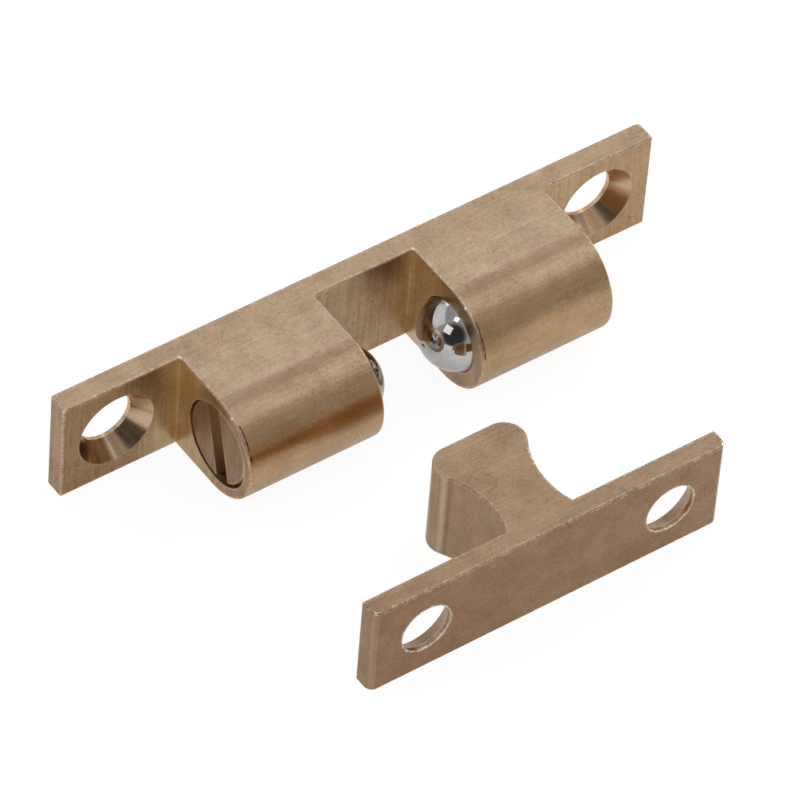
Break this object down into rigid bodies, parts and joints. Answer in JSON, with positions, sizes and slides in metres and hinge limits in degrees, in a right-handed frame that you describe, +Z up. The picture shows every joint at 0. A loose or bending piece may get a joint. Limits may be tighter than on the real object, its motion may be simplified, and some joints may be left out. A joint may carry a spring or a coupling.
{
  "type": "ball catch",
  "caption": "Brass ball catch: a flat plate with round-nosed housings holding sprung steel balls, adjusted by slotted screws, and a T-shaped strike with a hollow-sided head.",
  "frame": {"origin": "middle of the catch's flat mounting face", "axes": "+X along the catch's plate, -Y out of the mounting face towards the strike, +Z up, across the plate's width; both pieces lie on their flanks"},
  "size_m": [0.06, 0.0333, 0.0104],
  "materials": {
    "body_brass": "satin, as milled",
    "strike_brass": "satin, as milled",
    "screw_brass": "turned",
    "ball_steel": "polished",
    "spring_steel": "drawn wire"
  },
  "bodies": {
    "catch": {"catch_body": "body_brass"},
    "left_ball": {"left_ball": "ball_steel"},
    "right_ball": {"right_ball": "ball_steel"},
    "left_spring": {"left_spring": "spring_steel"},
    "right_spring": {"right_spring": "spring_steel"},
    "left_adjusting_screw": {"left_adjusting_screw": "screw_brass"},
    "right_adjusting_screw": {"right_adjusting_screw": "screw_brass"},
    "strike": {"strike": "strike_brass"}
  },
  "joints": [
    {"name": "left_ball_press", "type": "slide", "parent": "catch", "child": "left_ball", "axis": [-1, 0, 0], "range_m": [0, 0.0026], "stiffness_N_per_m": 1000, "deforming": ["left_spring"]},
    {"name": "left_screw_travel", "type": "slide", "parent": "catch", "child": "left_spring", "axis": [1, 0, 0], "range_m": [-0.00075, 0.0015], "deforming": ["left_spring"]},
    {"name": "left_screw_turn", "type": "hinge", "parent": "left_spring", "child": "left_adjusting_screw", "pos_m": [-0.0168, -0.0079, 0], "axis": [1, 0, 0], "range_deg": [-400, 760]},
    {"name": "right_ball_press", "type": "slide", "parent": "catch", "child": "right_ball", "axis": [1, 0, 0], "range_m": [0, 0.0026], "stiffness_N_per_m": 1000, "deforming": ["right_spring"]},
    {"name": "right_screw_travel", "type": "slide", "parent": "catch", "child": "right_spring", "axis": [-1, 0, 0], "range_m": [-0.00075, 0.0015], "deforming": ["right_spring"]},
    {"name": "right_screw_turn", "type": "hinge", "parent": "right_spring", "child": "right_adjusting_screw", "pos_m": [0.0168, -0.0079, 0], "axis": [-1, 0, 0], "range_deg": [-400, 760]},
    {"name": "strike_approach", "type": "slide", "parent": "catch", "child": "strike", "axis": [0.261, 0.9653, 0], "range_m": [0, 0.0109]}
  ],
  "couplings": [
    {"joint": "left_screw_turn", "follows": "left_screw_travel", "rad_per_m": 8377.6},
    {"joint": "right_screw_turn", "follows": "right_screw_travel", "rad_per_m": 8377.6}
  ]
}
